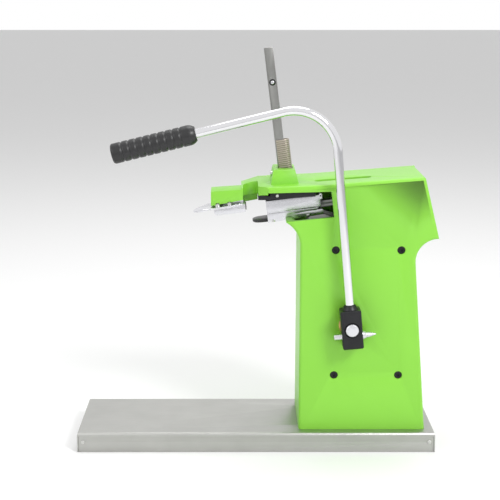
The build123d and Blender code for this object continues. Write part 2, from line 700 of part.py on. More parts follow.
def make_guide_plate():
    """The plate between arm and guide: it steps down under the rib at the throat."""
    rib_x = ARM_FRONT + RIB_LENGTH
    rear = KINK_X - 2
    profile = polygon([
        (ARM_FRONT, plate_under(ARM_FRONT)), (rear, plate_under(rear)), (rear, under_z(rear)),
        (rib_x, under_z(rib_x)), (rib_x, RIB_Z), (ARM_FRONT, RIB_Z)])
    edge = INNER_NEAR + 0.5
    plate = side_prism(profile, edge, INNER_FAR - 0.5)
    flare = polygon([
        (ARM_FRONT - 1, NEAR_Y + THROAT_MOUTH_Y), (ARM_FRONT, NEAR_Y + THROAT_MOUTH_Y),
        (PLATE_MOUTH_X, edge), (PLATE_MOUTH_X, edge - 1), (ARM_FRONT - 1, edge - 1)])
    plate -= plan_prism(flare, 0, BEYOND)
    plate -= clip_passage()
    for screw in feed_screws(False) + plate_screw_group(False):
        plate -= screw
    for x, dy in ((21.5, 12.0), (43.0, 9.5)):
        for y in (-dy, dy):
            plate -= bar_z(x, y, 3.4, 0, BEYOND)
    return plate


def plate_screw_group(hollow=True):
    """One small screw in each side of the plate."""
    group = []
    edge = INNER_FAR - 0.5
    for side in (-1, 1):
        turn = 90 if side < 0 else -90
        group.append(Pos(22.5, side * edge, 287.2) * Rot(turn, 0, 0) * cap_screw(1.25, 6.0, 1.7, 0.8, hollow))
    return group


def make_clip_chute():
    """The block that fills the wedge between the plate and the guide, round the clips."""
    low = feed_xz(1.0, GUIDE_TOP)
    high = feed_xz(50.0, GUIDE_TOP)
    profile = polygon([low, high, (high[0], plate_under(high[0])), (low[0], plate_under(low[0]))])
    chute = side_prism(profile, -18.0, 18.0)
    chute -= clip_passage()
    for screw in feed_screws(False):
        chute -= screw
    return chute


def make_punch_guide():
    half = GUIDE_WIDTH / 2
    guide = block(GUIDE_FRONT, GUIDE_REAR, -half, half, GUIDE_FLOOR, GUIDE_TOP)
    skirt_face = polygon([(GUIDE_FRONT, GUIDE_FLOOR), (GUIDE_FRONT, GUIDE_SKIRT), (SKIRT_REAR, GUIDE_FLOOR)])
    lug_x = GUIDE_REAR + 1.0
    for side in (-1, 1):
        cheek = sorted((side * half, side * (half - SKIRT_T)))
        guide += side_prism(skirt_face, *cheek)
        ear = sorted((side * half, side * (half - 3)))
        lug = block(GUIDE_REAR - 1.0, lug_x + 1.6, *ear, 0.5, 5.2) + bar_y(lug_x, 5.0, 1.9, *ear)
        guide += lug - bar_y(lug_x, 4.2, 0.8, *ear)
    # the lower rear corner is cut away in a curve
    guide -= bar_y(GUIDE_REAR + 2.5, GUIDE_FLOOR - 6.0, 10.0, -half, half)
    blade = BLADE_WIDTH / 2 + SLIDE_PLAY
    level = BLADE_T / 2 + SLIDE_PLAY
    guide -= block(GUIDE_FRONT - 1, GUIDE_REAR + 1, -blade, blade, -level, level)
    land = LAND_WIDTH / 2 + SLIDE_PLAY
    guide -= block(GUIDE_FRONT - 1, GUIDE_REAR + 1, -land, land, GUIDE_FLOOR, 0)
    shank = SHANK_WIDTH / 2 + SLIDE_PLAY
    guide -= block(GUIDE_FRONT - 1, GUIDE_REAR + 1, -shank, shank, GUIDE_FLOOR - 1, SHANK_TOP + SLIDE_PLAY)
    yoke = YOKE_HALF + SLIDE_PLAY
    guide -= block(YOKE_FRONT - STROKE - 1.2, GUIDE_REAR + 5, -yoke, yoke, GUIDE_FLOOR - 1, YOKE_TOP + SLIDE_PLAY)
    # a groove along each cheek
    for side in (-1, 1):
        guide -= bar_along(side * (half + 0.9), -8.2, 1.3)
    guide = in_feed(guide)
    guide -= clip_passage()
    for screw in feed_screws(False):
        guide -= screw
    return guide


def bar_along(y, n, radius):
    """A round bar along the punch line, as long as the guide."""
    length = GUIDE_REAR - GUIDE_FRONT
    return Pos((GUIDE_FRONT + GUIDE_REAR) / 2, y, n) * Rot(0, 90, 0) * Cylinder(radius, length + 8)


def make_guide_strip():
    half = GUIDE_WIDTH / 2 - SKIRT_T
    face = polygon([
        (GUIDE_FRONT, GUIDE_FLOOR), (GUIDE_FRONT, strip_under(GUIDE_FRONT)),
        (STRIP_REAR, strip_under(STRIP_REAR)), (STRIP_REAR, GUIDE_FLOOR)])
    strip = side_prism(face, -half, half)
    ends = strip.edges().filter_by(Axis.Y).filter_by(lambda e: e.center().X > STRIP_REAR - 1)
    strip = fillet(ends, 2.6)
    arm = ROCKER_T / 2 + 1.5
    strip -= block(YOKE_FRONT - STROKE - 2, STRIP_REAR + 1, -arm, arm, GUIDE_FLOOR - 20, 0)
    strip = in_feed(strip)
    for screw in feed_screws(False):
        strip -= screw
    return strip


def make_neck_pad():
    pad = block(PAD_FRONT, GUIDE_FRONT, -13.0, 13.0, STRIP_BOTTOM, STRIP_BOTTOM + PAD_T)
    pad = fillet(pad.edges().filter_by(Axis.Z).filter_by(lambda e: e.center().X < PAD_FRONT + 1), 11.0)
    pad = chamfer(pad.edges().group_by(Axis.Z)[0].filter_by(lambda e: e.center().X < GUIDE_FRONT - 0.5), 1.0)
    return in_feed(pad)


# Die, its holder and the horn, under the front block

def make_die_holder():
    front = DIE_FACE - HOLDER_REAR_END
    half = 13.0
    holder = block(front, DIE_FACE, -half, half, HOLDER_BOTTOM, HOLDER_TOP)
    nose = holder.edges().filter_by(Axis.Y).filter_by(lambda e: e.center().X < front + 1)
    holder = fillet(nose, 3.6)
    holder += block(front + 9, DIE_FACE - 5.5, -7.0, 7.0, HOLDER_TOP - 1, HOLDER_TOP + HORN_T + 1)
    holder -= block(DIE_FACE - DIE_T, DIE_FACE + 1, -8.0, 8.0, -3.2, 3.2)
    holder = in_feed(holder) + holder_riser()
    for screw in horn_screw_group(False) + holder_screw_group(False):
        holder -= screw
    return holder


def holder_riser():
    """The upper part of the holder, let into the front block."""
    front = DIE_FACE - HOLDER_REAR_END
    return in_feed(block(front + 5, DIE_FACE - 1.5, -11.0, 11.0, HOLDER_TOP + HORN_T, HOLDER_RISER))


def make_die():
    die = block(DIE_FACE - DIE_T, DIE_FACE + 1.2, -8.0, 8.0, -3.2, 3.2)
    # two round grooves that curl the legs of the clip inwards
    for side in (-1, 1):
        groove = Pos(DIE_FACE + 1.2, side * 3.1, 0) * Cylinder(3.1, BLADE_T + 0.2)
        die -= groove
    return in_feed(die)


def horn_face():
    """Plan of the horn: it flares towards the lever side at its tip."""
    root = DIE_FACE - 1.5
    return make_face([
        Line((root, -19.0), (root, HORN_FAR)),
        Line((root, HORN_FAR), (HORN_SHOULDER, HORN_FAR)),
        ThreePointArc((HORN_SHOULDER, HORN_FAR), (-64.0, 10.0), (-73.0, -4.0)),
        ThreePointArc((-73.0, -4.0), (-79.5, -17.0), (-81.0, -29.0)),
        ThreePointArc((-81.0, -29.0), (-76.0, -30.5), (-68.0, -28.5)),
        Line((-68.0, -28.5), (-54.0, -26.0)),
        ThreePointArc((-54.0, -26.0), (-42.0, -24.0), (root, -19.0)),
    ])


def make_bag_horn():
    horn = plan_prism(horn_face(), HOLDER_TOP, HOLDER_TOP + HORN_T)
    front = DIE_FACE - HOLDER_REAR_END
    horn -= block(front + 9, DIE_FACE - 5.5, -7.0, 7.0, 0, 20)
    horn = in_feed(horn)
    for screw in horn_screw_group(False):
        horn -= screw
    return horn


def horn_screw_group(hollow=True):
    """Two screws through the near margin of the horn."""
    group = []
    for t in (-54.2, -41.0):
        screw = cap_screw(1.5, HORN_T, 3.0, 3.2, hollow)
        group.append(in_feed(Pos(t, -19.7, HOLDER_TOP + HORN_T) * screw))
    return group


def holder_screw_group(hollow=True):
    """Two screws from below, through the holder into the front block."""
    group = []
    for t in (-46.0, -36.5):
        screw = cap_screw(2.0, HOLDER_RISER + 6.5 - HOLDER_BOTTOM - 3.0, 3.5, 3.0, hollow)
        group.append(in_feed(Pos(t, 0, HOLDER_BOTTOM + 3.0) * Rot(180, 0, 0) * screw))
    return group


# Clip magazine: tower, rail, its catch, and the stick of clips

def make_magazine_tower():
    spread = TOWER_FOOT_LENGTH - TOWER_HEAD_LENGTH
    foot_z = top_z(TOWER_FOOT_X)
    # the taper goes on down to below the arm's top, where it is cut to the slope
    down = 1.4
    foot = Pos(TOWER_HEAD_X + (TOWER_FOOT_X - TOWER_HEAD_X) * down, 0, TOWER_TOP_Z + (foot_z - TOWER_TOP_Z) * down)
    foot_length = TOWER_HEAD_LENGTH + spread * down
    foot_width = TOWER_HEAD_WIDTH + (TOWER_FOOT_WIDTH - TOWER_HEAD_WIDTH) * down
    head = Pos(TOWER_HEAD_X, 0, TOWER_TOP_Z) * Rectangle(TOWER_HEAD_LENGTH, TOWER_HEAD_WIDTH)
    tower = loft([foot * Rectangle(foot_length, foot_width), head])
    tower = chamfer(tower.edges().group_by(Axis.Z)[-1], 0.8)
    below = polygon([(-ARM_FRONT, 0), (KINK_X, 0), (KINK_X, KINK_Z), (-ARM_FRONT, top_z(-ARM_FRONT))])
    tower -= side_prism(below, -HALF_W, HALF_W)
    tower -= clip_passage()
    for screw in tower_screw_group(False):
        tower -= screw
    return tower - rail_screw(False)


def rail_screw(hollow=True):
    """The screw that clamps the rail to the front wall of the tower."""
    n = (TOWER_TOP_Z - 7.5 - FEED_Z) / cos(TILT) - 1.0
    front = RAIL_T - RAIL_DEPTH / 2 - 6.0
    return in_feed(Pos(front, 0, n) * Rot(0, -90, 0) * cap_screw(1.5, 11.0, 3.0, 3.0, hollow))


def make_clip_rail():
    t0 = RAIL_T - RAIL_DEPTH / 2
    rail = block(t0, t0 + RAIL_DEPTH, -RAIL_WIDTH / 2, RAIL_WIDTH / 2, CLIP_BASE, RAIL_TOP)
    front = rail.edges().filter_by(Axis.Z).filter_by(lambda e: e.center().X < RAIL_T)
    rail = chamfer(front, RAIL_CHAMFER)
    rail = chamfer(rail.edges().group_by(Axis.Z)[-1], 0.5)
    rail -= Pos(RAIL_T, 0, CATCH_N) * Rot(90, 0, 0) * Cylinder(CATCH_R, RAIL_WIDTH + 4)
    rail = in_feed(rail)
    return rail - rail_screw(False)


def make_catch_sleeve():
    sleeve = Cylinder(CATCH_R, RAIL_WIDTH) - Cylinder(BUTTON_R + BUTTON_FIT, RAIL_WIDTH + 1)
    plug = Pos(0, 0, -RAIL_WIDTH / 2 + 1.0) * Cylinder(BUTTON_R + BUTTON_FIT, 2.0)
    return in_feed(Pos(RAIL_T, 0, CATCH_N) * Rot(90, 0, 0) * (sleeve + plug))


def make_catch_button():
    length = RAIL_WIDTH - 2.0 - BUTTON_TRAVEL - 0.3 + BUTTON_TRAVEL
    top = RAIL_WIDTH / 2 + BUTTON_TRAVEL
    button = Pos(0, 0, top - length / 2) * Cylinder(BUTTON_R, length)
    button = fillet(button.edges().sort_by(Axis.Z)[-1], 1.5)
    return in_feed(Pos(RAIL_T, 0, CATCH_N) * Rot(90, 0, 0) * button)


def clip_face(inner, outer):
    """Plan of one clip: two legs that straddle the rail and a round crown behind it."""
    tip = RAIL_T - RAIL_DEPTH / 2 + CLIP_LEG_SHORT
    return make_face([
        Line((tip, inner), (CROWN_T, inner)),
        ThreePointArc((CROWN_T, inner), (CROWN_T + inner, 0), (CROWN_T, -inner)),
        Line((CROWN_T, -inner), (tip, -inner)),
        Line((tip, -inner), (tip, -outer)),
        Line((tip, -outer), (CROWN_T, -outer)),
        ThreePointArc((CROWN_T, -outer), (CROWN_T + outer, 0), (CROWN_T, outer)),
        Line((CROWN_T, outer), (tip, outer)),
        Line((tip, outer), (tip, inner)),
    ])


def make_clip_stick():
    stick = plan_prism(clip_face(CLIP_IN, CLIP_OUT), CLIP_BASE, CLIP_BASE + STICK_LENGTH)
    return in_feed(stick)


# Lever: rod, grip, collar, block, cotter, shaft, rocker and drive pin

def rod_path():
    """Centre line of the rod, from its seat in the block to its free end."""
    turn = radians(ROD_TURN)
    foot = Vector(0, LEVER_Y, BLOCK_H / 2 - ROD_SEAT)
    corner = Vector(0, LEVER_Y, ROD_RISE)
    end = corner + Vector(-sin(turn), 0, cos(turn)) * ROD_REACH
    return FilletPolyline(foot, corner, end, radius=ROD_BEND_R)


def make_lever_rod():
    path = rod_path()
    rod = sweep(Plane(path @ 0, z_dir=path % 0) * Circle(ROD_R), path=path)
    return on_lever(rod)


def make_lever_grip():
    path = rod_path()
    turn = radians(ROD_TURN)
    along = Vector(-sin(turn), 0, cos(turn))
    plane = Plane(path @ 1 + along * 4.0, z_dir=-along)
    length = GRIP_LENGTH + 4.0
    outline = make_face([
        Line((0, 0), (GRIP_R - 2.0, 0)),
        ThreePointArc((GRIP_R - 2.0, 0), (GRIP_R - 0.6, 0.6), (GRIP_R, 2.0)),
        Line((GRIP_R, 2.0), (GRIP_R, length - 8.0)),
        Line((GRIP_R, length - 8.0), (GRIP_R - 3.0, length)),
        Line((GRIP_R - 3.0, length), (0, length)),
        Line((0, length), (0, 0)),
    ])
    grip = revolve(Plane.XZ * outline, axis=Axis.Z)
    bore = Pos(0, 0, 4.0 + length / 2) * Cylinder(ROD_R, length)
    return on_lever(plane * (grip - bore))


def make_lever_collar():
    foot = BLOCK_H / 2
    collar = Pos(0, LEVER_Y, foot + COLLAR_H / 2) * Cone(COLLAR_FOOT_R, COLLAR_TOP_R, COLLAR_H)
    collar -= Pos(0, LEVER_Y, foot) * Cylinder(ROD_R, 30)
    return on_lever(collar)


def cotter():
    """The tapered pin that crosses the block under the shaft and bites into it."""
    length = COTTER_LEFT + COTTER_RIGHT
    middle = (COTTER_RIGHT - COTTER_LEFT) / 2
    pin = Pos(middle, 0, 0) * Rot(0, 90, 0) * Cylinder(COTTER_R, length)
    pin = chamfer(pin.edges().sort_by(Axis.X)[0], 0.6)
    tip = Pos(COTTER_RIGHT + COTTER_TIP / 2, 0, 0) * Rot(0, 90, 0) * Cone(COTTER_R, 0.6, COTTER_TIP)
    nut = Pos(BLOCK_W / 2, 0, 0) * Rot(0, 90, 0) * Cone(5.6, 3.6, 4.5, align=(Align.CENTER, Align.CENTER, Align.MIN))
    return on_lever(Pos(0, LEVER_Y, -COTTER_DROP) * (pin + tip + nut))


def make_lever_block():
    y0 = LEVER_Y - BLOCK_D / 2
    y1 = LEVER_Y + BLOCK_D / 2
    lever_block = block(-BLOCK_W / 2, BLOCK_W / 2, y0, y1, -BLOCK_H / 2, BLOCK_H / 2)
    lever_block = chamfer(lever_block.edges(), BLOCK_CHAMFER)
    bore = Pos(0, LEVER_Y, 0) * Rot(90, 0, 0) * Cylinder(SHAFT_R, BLOCK_D + 2)
    mouth = Pos(0, y0 + BORE_CHAMFER / 2, 0) * Rot(90, 0, 0) * Cone(SHAFT_R, SHAFT_R + BORE_CHAMFER, BORE_CHAMFER)
    lever_block = lever_block - bore - mouth
    lever_block -= Pos(0, LEVER_Y, BLOCK_H / 2 - ROD_SEAT / 2 + 1) * Cylinder(ROD_R, ROD_SEAT + 2)
    return on_lever(lever_block) - cotter()


def make_lever_shaft():
    near_end = LEVER_Y - BLOCK_D / 2 - SHAFT_PROUD
    shaft = bar_y(0, 0, SHAFT_R, near_end, SHAFT_FAR)
    shaft = chamfer(shaft.edges().filter_by(GeomType.CIRCLE), 0.8)
    shaft = on_lever(shaft) - cotter()
    shaft -= hub_key()
    for groove_y in (INNER_NEAR + 5.4, RING_FAR_Y):
        shaft -= bar_y(SHAFT_X, SHAFT_Z, SHAFT_R + 2, groove_y, groove_y + 1.2) - bar_y(
            SHAFT_X, SHAFT_Z, SHAFT_R - 1.0, groove_y, groove_y + 1.2)
    return shaft


def make_shaft_rings():
    rings = []
    for ring_y in (INNER_NEAR + 5.4, RING_FAR_Y):
        ring = bar_y(SHAFT_X, SHAFT_Z, SHAFT_R + 2.2, ring_y, ring_y + 1.2)
        ring -= bar_y(SHAFT_X, SHAFT_Z, SHAFT_R - 1.0, ring_y - 1, ring_y + 3)
        ring -= block(SHAFT_X - 2.2, SHAFT_X + 2.2, ring_y - 1, ring_y + 3, SHAFT_Z - 20, SHAFT_Z)
        rings.append(ring)
    return rings


def rocker_frame(piece):
    """Places a piece that is drawn about the shaft, with the rocker straight up."""
    lean = degrees(SWING) + FEED_TILT * -1
    return Pos(SHAFT_X, 0, SHAFT_Z) * Rot(0, lean, 0) * piece


def hub_key():
    """The pin that locks the hub of the rocker to the shaft."""
    return rocker_frame(Pos(0, 0, -HUB_R + 12.5) * Cylinder(2.5, 25.0))


def make_rocker_arm():
    half = ROCKER_T / 2
    hub = bar_y(0, 0, HUB_R, -HUB_LENGTH / 2, HUB_LENGTH / 2)
    web = side_prism(polygon([(-13.0, 4.0), (13.0, 4.0), (ROCKER_EYE_R, ROCKER_R), (-ROCKER_EYE_R, ROCKER_R)]), -half, half)
    eye = bar_y(0, ROCKER_R, ROCKER_EYE_R, -half, half)
    rocker = hub + web + eye
    # pockets on both sides leave a rib round the arm
    pocket = polygon([(-7.5, 24.0), (7.5, 24.0), (3.2, ROCKER_R - 14.0), (-3.2, ROCKER_R - 14.0)])
    for y0, y1 in ((-half - 1, -half + 3), (half - 3, half + 1)):
        rocker -= side_prism(pocket, y0, y1)
    rocker -= bar_y(0, 0, SHAFT_R, -HUB_LENGTH, HUB_LENGTH)
    rocker -= bar_y(0, ROCKER_R, DRIVE_PIN_R, -HUB_LENGTH, HUB_LENGTH)
    # ear behind the hub for the return spring
    ear = bar_y(SPRING_ARM, 0, 5.0, -EAR_HALF, EAR_HALF)
    ear += block(HUB_R - 4, SPRING_ARM, -EAR_HALF, EAR_HALF, -5.0, 5.0)
    ear -= bar_y(SPRING_ARM, 0, 2.0, -10, 10)
    ear = Rot(0, FEED_TILT, 0) * ear
    rocker += ear - bar_y(0, 0, SHAFT_R + 2, -20, 20)
    return rocker_frame(rocker) - hub_key()


def make_drive_pin():
    reach = YOKE_HALF - 0.2
    pin = bar_y(0, ROCKER_R, DRIVE_PIN_R, -reach, reach)
    pin = chamfer(pin.edges().filter_by(GeomType.CIRCLE), 0.5)
    return rocker_frame(pin)


def make_return_spring():
    """Extension spring between the ear of the rocker and a post near the floor."""
    wire = SPRING_WIRE / 2
    ear_z = SHAFT_Z - SPRING_ARM * sin(SWING)
    top_eye = ear_z - 0.7 - SPRING_EYE_TOP
    low_eye = SPRING_FOOT_Z - POST_GROOVE_R - wire - 0.1 + SPRING_EYE_LOW
    coil_low = low_eye + SPRING_EYE_LOW + 0.4
    coil_high = top_eye - SPRING_EYE_TOP - 0.4
    # the wound part stands as a closed sleeve of the same outer size
    spring = bar_z(SPRING_X, 0, SPRING_R + wire, coil_low - wire, coil_high + wire)
    spring -= bar_z(SPRING_X, 0, SPRING_R - wire, coil_low + wire, coil_high - wire)
    spring += Pos(SPRING_X, 0, low_eye) * Rot(90, 0, 0) * Torus(SPRING_EYE_LOW, wire)
    spring += Pos(SPRING_X, 0, top_eye) * Rot(0, 90, 0) * Torus(SPRING_EYE_TOP, wire)
    return spring


def make_spring_post():
    groove = bar_y(SPRING_X, SPRING_FOOT_Z, 4.0, -2.0, 2.0)
    groove -= bar_y(SPRING_X, SPRING_FOOT_Z, POST_GROOVE_R, -2.0, 2.0)
    return bar_y(SPRING_X, SPRING_FOOT_Z, 3.0, -FRAME_IN, FRAME_IN) - groove


def make_lever_stop():
    """Rubber sleeve on a bar between the frame plates, behind the rocker at rest."""
    x, z = stop_place()
    return bar_y(x, z, 5.0, -FRAME_IN, FRAME_IN)


def stop_place():
    lean = SWING - TILT
    along = ROCKER_R * 0.62
    width = 13.0 + (ROCKER_EYE_R - 13.0) * (along - 4.0) / (ROCKER_R - 4.0)
    off = width + 5.0 + 0.35
    return (SHAFT_X + along * sin(lean) + off * cos(lean), SHAFT_Z + along * cos(lean) - off * sin(lean))


# Punch: blade on a carriage whose fork takes the drive pin

def make_punch_blade():
    blade = block(BLADE_FACE, BLADE_REAR, -BLADE_WIDTH / 2, BLADE_WIDTH / 2, -BLADE_T / 2, BLADE_T / 2)
    crown = Pos(BLADE_FACE - 3.4, 0, 0) * Cylinder(CLIP_OUT, BLADE_T + 1)
    blade -= crown
    blade = in_feed(blade)
    for screw in blade_screw_group():
        blade -= screw
    return blade


def blade_screw_group():
    group = []
    for t in (SHANK_FRONT + 2.9, BLADE_REAR - 2.9):
        head = Pos(0, 0, -0.75) * Cone(1.5, 2.9, 1.5)
        shank = Pos(0, 0, -3.5) * Cylinder(1.5, 5.0)
        group.append(in_feed(Pos(t, 0, BLADE_T / 2) * (head + shank)))
    return group


def make_punch_carriage():
    side = SHANK_WIDTH / 2
    shank = block(SHANK_FRONT, YOKE_FRONT + 1, -side, side, SHANK_BOTTOM, SHANK_TOP)
    for y0, y1 in ((-side - 1, -side + 1), (side - 1, side + 1)):
        shank -= block(SHANK_FRONT - 1, YOKE_FRONT, y0, y1, -8.2, -7.0)
    shank += block(SHANK_FRONT, BLADE_REAR, -LAND_WIDTH / 2, LAND_WIDTH / 2, SHANK_TOP, -BLADE_T / 2)
    rear = PIN_T + 8.0
    yoke = block(YOKE_FRONT, rear, -YOKE_HALF, YOKE_HALF, YOKE_BOTTOM, YOKE_TOP)
    arm = ROCKER_T / 2 + 1.0
    yoke -= block(YOKE_FRONT + YOKE_WALL, rear + 1, -arm, arm, YOKE_BOTTOM - 1, YOKE_TOP + 1)
    slot = DRIVE_PIN_R + DRIVE_PLAY
    top = SHAFT_N + ROCKER_R + slot
    yoke -= block(PIN_T - slot, PIN_T + slot, -20, 20, YOKE_BOTTOM - 1, top)
    carriage = in_feed(shank + yoke)
    for screw in blade_screw_group():
        carriage -= screw
    return carriage


def less(piece, tools):
    for tool in tools:
        piece -= tool
    return piece


base_bolts = make_base_bolts()
tray = less(make_base_tray(), base_bolts)
for side in (-1, 1):
    for end in (-1, 1):
        x = end * (TRAY_LENGTH / 2 - RIVET_INSET)
        y = side * (TRAY_WIDTH / 2 - TRAY_SHEET)
        tray -= bar_y(x, RIVET_HEIGHT, RIVET_SHANK_R, y - 2 * TRAY_SHEET, y + 2 * TRAY_SHEET)

housing_body = make_housing_body()
piercing = base_bolts + feed_screws(False) + tower_screw_group(False)
piercing += holder_screw_group(False) + horn_screw_group(False)
housing_body = less(housing_body, piercing)

nodes = {
    "base_tray": tray,
    "tray_rivets": make_tray_rivets(),
    "base_backing_plate": less(make_backing_plate(), base_bolts),
    "base_bolts": base_bolts,
    "housing_body": housing_body,
    "housing_cover": make_housing_cover(),
    "side_bolts_near": make_side_bolts(-1),
    "side_bolts_far": make_side_bolts(1),
    "frame_plate_near": make_frame_plate(-FRAME_OUT, -FRAME_IN),
    "frame_plate_far": make_frame_plate(FRAME_IN, FRAME_OUT),
    "frame_spacers": make_frame_spacers(),
    "spacer_nuts": make_spacer_nuts(),
    "shaft_bush_near": make_shaft_bush(NEAR_Y, INNER_NEAR + 5, NEAR_Y),
    "shaft_bush_far": make_shaft_bush(FRAME_IN, FRAME_OUT + 3, FRAME_OUT + 3),
    "guide_plate": make_guide_plate(),
    "clip_chute": make_clip_chute(),
    "plate_screws": plate_screw_group(),
    "punch_guide": make_punch_guide(),
    "guide_strip": make_guide_strip(),
    "guide_screws": feed_screws(),
    "neck_pad": make_neck_pad(),
    "die_holder": make_die_holder(),
    "die": make_die(),
    "holder_screws": holder_screw_group(),
    "bag_horn": make_bag_horn(),
    "horn_screws": horn_screw_group(),
    "magazine_tower": make_magazine_tower(),
    "tower_screws": tower_screw_group(),
    "clip_rail": make_clip_rail(),
    "rail_screw": rail_screw(),
    "catch_sleeve": make_catch_sleeve(),
    "catch_button": make_catch_button(),
    "clip_stick": make_clip_stick(),
    "spring_post": make_spring_post(),
    "return_spring": make_return_spring(),
    "lever_stop": make_lever_stop(),
    "lever_rod": make_lever_rod(),
    "lever_grip": make_lever_grip(),
    "lever_collar": make_lever_collar(),
    "lever_block": make_lever_block(),
    "cotter_pin": cotter(),
    "lever_shaft": make_lever_shaft(),
    "shaft_rings": make_shaft_rings(),
    "rocker_arm": make_rocker_arm(),
    "rocker_key": hub_key(),
    "drive_pin": make_drive_pin(),
    "punch_blade": make_punch_blade(),
    "punch_carriage": make_punch_carriage(),
    "blade_screws": blade_screw_group(),
}

for name, piece in nodes.items():
    shape = Compound(children=[p for p in piece]) if isinstance(piece, list) else piece
    export_step(shape, f"parts/{name}.step")
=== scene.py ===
import json
import math
import bpy
import bmesh
from mathutils import Matrix, Vector


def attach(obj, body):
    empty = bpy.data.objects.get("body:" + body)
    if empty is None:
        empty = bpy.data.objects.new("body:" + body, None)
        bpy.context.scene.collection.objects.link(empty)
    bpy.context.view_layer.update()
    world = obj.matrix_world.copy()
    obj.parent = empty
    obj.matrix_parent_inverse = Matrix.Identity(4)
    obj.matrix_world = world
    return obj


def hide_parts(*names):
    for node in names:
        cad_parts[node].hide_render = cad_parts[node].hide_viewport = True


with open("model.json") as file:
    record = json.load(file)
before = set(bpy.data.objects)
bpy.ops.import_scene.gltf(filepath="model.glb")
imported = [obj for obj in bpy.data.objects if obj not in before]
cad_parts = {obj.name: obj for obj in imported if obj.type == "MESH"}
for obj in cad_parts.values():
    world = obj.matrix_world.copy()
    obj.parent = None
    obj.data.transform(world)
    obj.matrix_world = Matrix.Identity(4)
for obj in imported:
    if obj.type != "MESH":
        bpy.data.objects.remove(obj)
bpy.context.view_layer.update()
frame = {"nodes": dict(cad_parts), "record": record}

# The base tray: one sheet of stainless steel, folded down on all four sides.
# Its corners are closed by a tab behind each long flange and one hollow rivet.


def new_material(name):
    """An empty material with its output, its main shader and the piece's own coordinates."""
    material = bpy.data.materials.new(name)
    material.use_nodes = True
    tree = material.node_tree
    tree.nodes.clear()
    output = tree.nodes.new("ShaderNodeOutputMaterial")
    shader = tree.nodes.new("ShaderNodeBsdfPrincipled")
    place = tree.nodes.new("ShaderNodeTexCoord")
    tree.links.new(shader.outputs["BSDF"], output.inputs["Surface"])
    return material, tree, shader, place.outputs["Object"]


def noise(tree, where, stretch, scale, detail=4.0):
    """Cloudy variation, stretched by the three factors given."""
    mapping = tree.nodes.new("ShaderNodeMapping")
    mapping.inputs["Scale"].default_value = stretch
    tree.links.new(where, mapping.inputs["Vector"])
    cloud = tree.nodes.new("ShaderNodeTexNoise")
    cloud.inputs["Scale"].default_value = scale
    cloud.inputs["Detail"].default_value = detail
    tree.links.new(mapping.outputs["Vector"], cloud.inputs["Vector"])
    return cloud.outputs["Fac"]


def spread(tree, value, low, high):
    """Maps a noise onto a range of roughness or height."""
    remap = tree.nodes.new("ShaderNodeMapRange")
    remap.inputs["From Min"].default_value = 0.25
    remap.inputs["From Max"].default_value = 0.75
    remap.inputs["To Min"].default_value = low
    remap.inputs["To Max"].default_value = high
    tree.links.new(value, remap.inputs["Value"])
    return remap.outputs["Result"]


def tint(tree, value, dark, light):
    """Blends two colours by a noise."""
    mix = tree.nodes.new("ShaderNodeMix")
    mix.data_type = "RGBA"
    mix.inputs["A"].default_value = (*dark, 1.0)
    mix.inputs["B"].default_value = (*light, 1.0)
    tree.links.new(value, mix.inputs["Factor"])
    return mix.outputs["Result"]


def relief(tree, shader, height, depth, strength):
    """Raises the surface by a noise, to a depth in metres."""
    bump = tree.nodes.new("ShaderNodeBump")
    bump.inputs["Distance"].default_value = depth
    bump.inputs["Strength"].default_value = strength
    tree.links.new(height, bump.inputs["Height"])
    tree.links.new(bump.outputs["Normal"], shader.inputs["Normal"])


def ground_steel(name, dark, light, rough, stretch, scale, depth=0.00002, metallic=1.0):
    """Steel with fine grinding marks along the direction that the stretch leaves low."""
    material, tree, shader, where = new_material(name)
    marks = noise(tree, where, stretch, scale)
    patches = noise(tree, where, (1.0, 1.0, 1.0), 35.0, 3.0)
    shader.inputs["Metallic"].default_value = metallic
    tree.links.new(tint(tree, patches, dark, light), shader.inputs["Base Color"])
    tree.links.new(spread(tree, marks, rough - 0.07, rough + 0.07), shader.inputs["Roughness"])
    relief(tree, shader, marks, depth, 0.35)
    return material


def smooth_group(angle):
    """Shades faces smoothly across every edge that turns by less than an angle."""
    group = bpy.data.node_groups.new("smooth below %d degrees" % angle, "GeometryNodeTree")
    group.interface.new_socket("Geometry", in_out="INPUT", socket_type="NodeSocketGeometry")
    group.interface.new_socket("Geometry", in_out="OUTPUT", socket_type="NodeSocketGeometry")
    start = group.nodes.new("NodeGroupInput")
    end = group.nodes.new("NodeGroupOutput")
    faces = group.nodes.new("GeometryNodeSetShadeSmooth")
    edges = group.nodes.new("GeometryNodeSetShadeSmooth")
    edges.domain = "EDGE"
    turn = group.nodes.new("GeometryNodeInputMeshEdgeAngle")
    flat_enough = group.nodes.new("ShaderNodeMath")
    flat_enough.operation = "LESS_THAN"
    flat_enough.inputs[1].default_value = math.radians(angle)
    group.links.new(turn.outputs["Unsigned Angle"], flat_enough.inputs[0])
    group.links.new(start.outputs[0], faces.inputs["Geometry"])
    group.links.new(faces.outputs["Geometry"], edges.inputs["Geometry"])
    group.links.new(flat_enough.outputs[0], edges.inputs["Shade Smooth"])
    group.links.new(edges.outputs["Geometry"], end.inputs[0])
    return group


smooth_shading = smooth_group(33)


def ease_edges(piece, width, segments=2):
    """Joins the faces of a CAD node, breaks its sharp edges a little and shades its curves smoothly."""
    weld = piece.modifiers.new("join", "WELD")
    weld.merge_threshold = 0.000002
    flat = piece.modifiers.new("flats", "DECIMATE")
    flat.decimate_type = "DISSOLVE"
    flat.angle_limit = math.radians(0.4)
    if width > 0:
        bevel = piece.modifiers.new("broken edges", "BEVEL")
        bevel.width = width
        bevel.segments = segments
        bevel.limit_method = "ANGLE"
        bevel.angle_limit = math.radians(40.0)
        bevel.use_clamp_overlap = True
        bevel.miter_outer = "MITER_ARC"
    shade = piece.modifiers.new("smooth", "NODES")
    shade.node_group = smooth_shading


